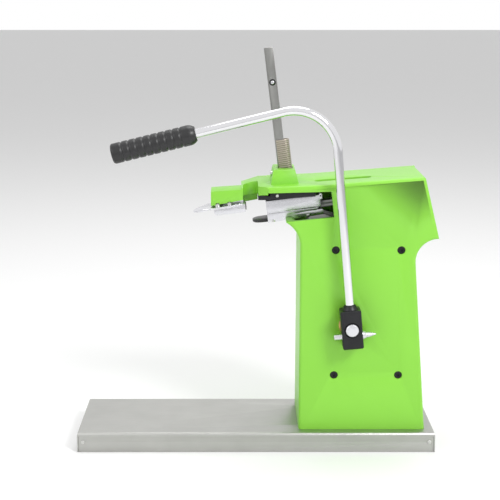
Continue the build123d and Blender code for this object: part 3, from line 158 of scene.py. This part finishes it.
def wear(material, *names):
    """Gives CAD nodes their finish."""
    for name in names:
        node = frame["nodes"][name]
        node.data.materials.clear()
        node.data.materials.append(material)


tray_finish = ground_steel("tray stainless", (0.42, 0.42, 0.40), (0.50, 0.50, 0.48), 0.42, (1.0, 60.0, 60.0), 25.0)
rivet_finish = ground_steel("zinc fasteners", (0.50, 0.50, 0.49), (0.66, 0.66, 0.64), 0.32, (1.0, 1.0, 1.0), 900.0)
wear(tray_finish, "base_tray", "base_backing_plate")
wear(rivet_finish, "tray_rivets", "base_bolts")

# The housing: a hollow casting with a powder coat in light green, and its far cover.


def powder_coat(name, dark, light):
    material, tree, shader, where = new_material(name)
    patches = noise(tree, where, (1.0, 1.0, 1.0), 14.0, 3.0)
    peel = noise(tree, where, (1.0, 1.0, 1.0), 900.0, 2.0)
    tree.links.new(tint(tree, patches, dark, light), shader.inputs["Base Color"])
    tree.links.new(spread(tree, peel, 0.30, 0.42), shader.inputs["Roughness"])
    relief(tree, shader, peel, 0.00003, 0.25)
    return material


housing_finish = powder_coat("green powder coat", (0.235, 0.62, 0.045), (0.26, 0.66, 0.055))
wear(housing_finish, "housing_body", "housing_cover", "magazine_tower")

# Everything else for now
black_steel = ground_steel("blackened steel", (0.012, 0.012, 0.014), (0.03, 0.03, 0.033), 0.38, (1.0, 1.0, 1.0), 600.0, metallic=0.6)
bright_steel = ground_steel("ground steel", (0.60, 0.60, 0.63), (0.72, 0.72, 0.75), 0.27, (2.0, 60.0, 60.0), 40.0)
hard_steel = ground_steel("hardened steel", (0.24, 0.24, 0.23), (0.33, 0.33, 0.32), 0.35, (60.0, 60.0, 2.0), 40.0)
chrome = ground_steel("chrome", (0.72, 0.72, 0.74), (0.78, 0.78, 0.80), 0.09, (1.0, 1.0, 1.0), 400.0, depth=0.000002)
clip_wire = ground_steel("clip wire", (0.36, 0.31, 0.26), (0.50, 0.45, 0.39), 0.42, (1.0, 1.0, 1.0), 500.0)
bronze = ground_steel("bronze", (0.45, 0.28, 0.12), (0.55, 0.36, 0.17), 0.35, (1.0, 40.0, 1.0), 60.0)
soft = powder_coat("black plastic", (0.012, 0.012, 0.013), (0.02, 0.02, 0.021))
looks = {
    "housing_green": housing_finish, "tray_steel": tray_finish, "black_steel": black_steel,
    "bright_steel": bright_steel, "hard_steel": hard_steel, "lever_chrome": chrome,
    "fastener_steel": rivet_finish, "black_fastener": black_steel, "clip_aluminium": clip_wire,
    "bush_bronze": bronze, "stop_rubber": soft, "pad_plastic": soft, "grip_plastic": soft,
}
for part in frame["record"]["subparts"]:
    wear(looks[part["material_slot"]], part["node"])
    ease_edges(frame["nodes"][part["node"]], 0.0003)

# The lever rod: a round bar bent once to a right angle and a little more, chromed all over.
# It stands in the top of the lever block, and its free end carries the grip.


def finished(name, mesh, body, material, material_slot, *nodes):
    """Puts a piece into the scene on its body, in place of the CAD nodes that it stands for."""
    piece = bpy.data.objects.new(name, mesh)
    bpy.context.scene.collection.objects.link(piece)
    mesh.materials.append(material)
    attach(piece, body)
    if nodes:
        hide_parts(*nodes)
    return piece


def smooth(mesh, sharp_above=35.0):
    """Shades a mesh smoothly but for its sharp edges."""
    mesh.shade_smooth()
    mesh.set_sharp_from_angle(angle=math.radians(sharp_above))


def skin_rings(shape, rings, closed_ends=True):
    """Joins rings of points into a tube."""
    loops = [[shape.verts.new(point) for point in ring] for ring in rings]
    count = len(loops[0])
    for near, far in zip(loops, loops[1:]):
        for i in range(count):
            shape.faces.new((near[i], near[(i + 1) % count], far[(i + 1) % count], far[i]))
    if closed_ends:
        shape.faces.new(loops[0][::-1])
        shape.faces.new(loops[-1])
    return loops


def closed_mesh(name, shape):
    mesh = bpy.data.meshes.new(name)
    bmesh.ops.recalc_face_normals(shape, faces=shape.faces[:])
    shape.to_mesh(mesh)
    shape.free()
    return mesh


SHAFT = Vector((0.104, 0.0, 0.1438))
LEVER_LEAN = math.radians(5.3)
LEVER_Y = -0.061
ROD_RADIUS = 0.005
ROD_FOOT = 0.0075
ROD_CORNER = 0.250
ROD_REACH = 0.238
ROD_TURN = math.radians(98.5)
ROD_BEND = 0.047


def lever_point(across, up):
    """A point in the plane of the lever, across and up along its lower straight."""
    x = across * math.cos(LEVER_LEAN) - up * math.sin(LEVER_LEAN)
    z = across * math.sin(LEVER_LEAN) + up * math.cos(LEVER_LEAN)
    return Vector((SHAFT.x + x, LEVER_Y, SHAFT.z + z))


def lever_direction(angle):
    """Direction in the plane of the lever, turned forward from its lower straight."""
    turned = LEVER_LEAN + angle
    return Vector((-math.sin(turned), 0.0, math.cos(turned)))


def rod_stations():
    """Centre points and directions along the rod, close together in the bend."""
    tangent = ROD_BEND * math.tan(ROD_TURN / 2)
    stations = [(lever_point(0, ROD_FOOT), 0.0)]
    steps = 36
    for i in range(steps + 1):
        angle = ROD_TURN * i / steps
        across = -ROD_BEND + ROD_BEND * math.cos(angle)
        up = ROD_CORNER - tangent + ROD_BEND * math.sin(angle)
        stations.append((lever_point(across, up), angle))
    corner = lever_point(0, ROD_CORNER)
    stations.append((corner + lever_direction(ROD_TURN) * ROD_REACH, ROD_TURN))
    return stations


def round_ring(centre, along, radius, count):
    """Points on a circle square to a direction that lies in the plane of the lever."""
    side = Vector((0.0, 1.0, 0.0))
    other = along.cross(side)
    points = []
    for i in range(count):
        turn = 2 * math.pi * i / count
        points.append(centre + side * (radius * math.cos(turn)) + other * (radius * math.sin(turn)))
    return points


shape = bmesh.new()
skin_rings(shape, [round_ring(c, lever_direction(a), ROD_RADIUS, 40) for c, a in rod_stations()])
rod_mesh = closed_mesh("lever rod", shape)
smooth(rod_mesh)
finished("lever_rod_bar", rod_mesh, "lever", chrome, "lever_chrome", "lever_rod")

# The grip: a moulded sleeve pushed over the end of the rod, with ribs for the fingers.
GRIP_RADIUS = 0.011
GRIP_LENGTH = 0.092
GRIP_OVERHANG = 0.004


def grip_radius(distance):
    """Outer radius at a distance from the closed end: rounded ends and nine ribs."""
    radius = GRIP_RADIUS
    if distance < 0.003:
        radius -= 0.003 - math.sqrt(max(0.0, 0.003 ** 2 - (0.003 - distance) ** 2))
    if distance > GRIP_LENGTH - 0.008:
        radius -= 0.0032 * ((distance - GRIP_LENGTH + 0.008) / 0.008) ** 2
    rib = (distance - 0.012) / 0.008
    if -0.5 < rib < 8.5:
        offset = abs(rib - round(rib)) * 0.008
        if offset < 0.0018:
            radius -= 0.0009 * math.cos(offset / 0.0018 * math.pi / 2) ** 2
    return radius


end = rod_stations()[-1][0]
inward = -lever_direction(ROD_TURN)
rings = []
steps = 230
for i in range(steps + 1):
    distance = GRIP_LENGTH * i / steps
    rings.append(round_ring(end + inward * (distance - GRIP_OVERHANG), inward, grip_radius(distance), 48))
rings.append(round_ring(end + inward * (GRIP_LENGTH - GRIP_OVERHANG), inward, ROD_RADIUS, 48))
rings.append(round_ring(end, inward, ROD_RADIUS, 48))
shape = bmesh.new()
skin_rings(shape, rings)
grip_mesh = closed_mesh("grip", shape)
smooth(grip_mesh)
finished("lever_grip_sleeve", grip_mesh, "lever", soft, "grip_plastic", "lever_grip")

# The clips: U-shaped pieces of drawn wire, stuck together in one stick, that straddle the rail.
FEED_TILT = math.radians(7.0)
FEED_ZERO = Vector((0.012, 0.0, 0.2721))
ALONG = Vector((math.cos(FEED_TILT), 0.0, math.sin(FEED_TILT)))
SQUARE = Vector((-math.sin(FEED_TILT), 0.0, math.cos(FEED_TILT)))
CLIP_COUNT = 30
CLIP_PITCH = 0.00225
CLIP_BASE = 0.0019
CLIP_TIP = 0.0183
CLIP_CROWN = 0.0268
CLIP_MIDDLE = 0.0055
CLIP_WIRE = (0.0014, 0.00215)


def feed_point(t, y, n):
    """A point given along the punch line, across it and square to it."""
    return FEED_ZERO + ALONG * t + Vector((0.0, y, 0.0)) + SQUARE * n


def clip_line():
    """Centre line of one clip seen from above, with its outward directions."""
    line = [(CLIP_TIP, CLIP_MIDDLE, 0.0, 1.0)]
    for i in range(17):
        turn = math.pi / 2 - math.pi * i / 16
        line.append((CLIP_CROWN + CLIP_MIDDLE * math.cos(turn), CLIP_MIDDLE * math.sin(turn), math.cos(turn), math.sin(turn)))
    line.append((CLIP_TIP, -CLIP_MIDDLE, 0.0, -1.0))
    return line


def wire_section():
    """Rounded section of the wire, across and up."""
    corners = []
    half_across, half_up = CLIP_WIRE[0] / 2, CLIP_WIRE[1] / 2
    rounding = 0.00045
    for i, (sx, sz) in enumerate(((1, 1), (-1, 1), (-1, -1), (1, -1))):
        for j in range(4):
            turn = math.pi / 2 * (i + j / 3)
            corners.append((
                sx * (half_across - rounding) + rounding * math.cos(turn),
                sz * (half_up - rounding) + rounding * math.sin(turn)))
    return corners


shape = bmesh.new()
for clip in range(CLIP_COUNT):
    level = CLIP_BASE + (clip + 0.5) * CLIP_PITCH
    rings = []
    for t, y, out_t, out_y in clip_line():
        rings.append([feed_point(t + out_t * a, y + out_y * a, level + u) for a, u in wire_section()])
    skin_rings(shape, rings)
clip_mesh = closed_mesh("clips", shape)
smooth(clip_mesh)
finished("clip_stack", clip_mesh, "clips", clip_wire, "clip_aluminium", "clip_stick")

# The studio: a plain pale floor, a white room round it, and soft lamps above and to the right.


def studio_plane(name, size, place, turn, colour):
    mesh = bpy.data.meshes.new(name)
    half = size / 2
    mesh.from_pydata([(-half, -half, 0), (half, -half, 0), (half, half, 0), (-half, half, 0)], [], [(0, 1, 2, 3)])
    plane = bpy.data.objects.new(name, mesh)
    bpy.context.scene.collection.objects.link(plane)
    plane.location = place
    plane.rotation_euler = turn
    material, tree, shader, where = new_material(name + " paint")
    patches = noise(tree, where, (1.0, 1.0, 1.0), 2.0, 2.0)
    tree.links.new(tint(tree, patches, colour, tuple(c * 0.995 for c in colour)), shader.inputs["Base Color"])
    shader.inputs["Roughness"].default_value = 0.9
    shader.inputs["Specular IOR Level"].default_value = 0.1
    mesh.materials.append(material)
    return plane


floor = studio_plane("floor", 30.0, (0, 0, -0.0002), (0, 0, 0), (0.95, 0.95, 0.95))


def lamp(name, place, aim, size, power):
    light = bpy.data.lights.new(name, "AREA")
    light.shape = "DISK"
    light.size = size
    light.energy = power
    holder = bpy.data.objects.new(name, light)
    bpy.context.scene.collection.objects.link(holder)
    holder.location = place
    holder.rotation_euler = (Vector(aim) - Vector(place)).to_track_quat("-Z", "Y").to_euler()
    return holder


lamp("key", (1.1, -1.3, 1.5), (0.02, 0, 0.2), 0.7, 22.0)
lamp("fill", (-1.6, -1.2, 1.2), (0, 0, 0.2), 1.4, 9.0)
lamp("top", (0.1, 0.5, 1.9), (0, 0, 0.2), 1.2, 12.0)

world = bpy.data.worlds.new("white room")
bpy.context.scene.world = world
world.use_nodes = True
room = world.node_tree
backdrop = room.nodes["Background"]
backdrop.inputs["Color"].default_value = (1.0, 1.0, 1.0, 1.0)
ray = room.nodes.new("ShaderNodeLightPath")
seen = room.nodes.new("ShaderNodeMath")
seen.operation = "MAXIMUM"
seen_too = room.nodes.new("ShaderNodeMath")
seen_too.operation = "MAXIMUM"
room.links.new(ray.outputs["Is Camera Ray"], seen.inputs[0])
room.links.new(ray.outputs["Is Glossy Ray"], seen.inputs[1])
room.links.new(seen.outputs[0], seen_too.inputs[0])
room.links.new(ray.outputs["Is Transmission Ray"], seen_too.inputs[1])
level = room.nodes.new("ShaderNodeMapRange")
level.inputs["To Min"].default_value = 0.62
level.inputs["To Max"].default_value = 1.0
room.links.new(seen_too.outputs[0], level.inputs["Value"])
room.links.new(level.outputs["Result"], backdrop.inputs["Strength"])

# The camera stands where the photograph was taken from, a little above the machine's arm.
FRAME_PIXELS = 500.0
camera_lens = bpy.data.cameras.new("camera")
camera = bpy.data.objects.new("camera", camera_lens)
bpy.context.scene.collection.objects.link(camera)
camera.location = (-0.01981, -1.36666, 0.50544)
camera.rotation_euler = (math.radians(90.0) - 0.2071, 0.0, 0.0)
camera_lens.sensor_width = 36.0
camera_lens.lens = 1235.73 * camera_lens.sensor_width / FRAME_PIXELS
camera_lens.shift_x = (250.0 - 238.32) / FRAME_PIXELS
bpy.context.scene.camera = camera
bpy.context.scene.view_settings.view_transform = "Standard"
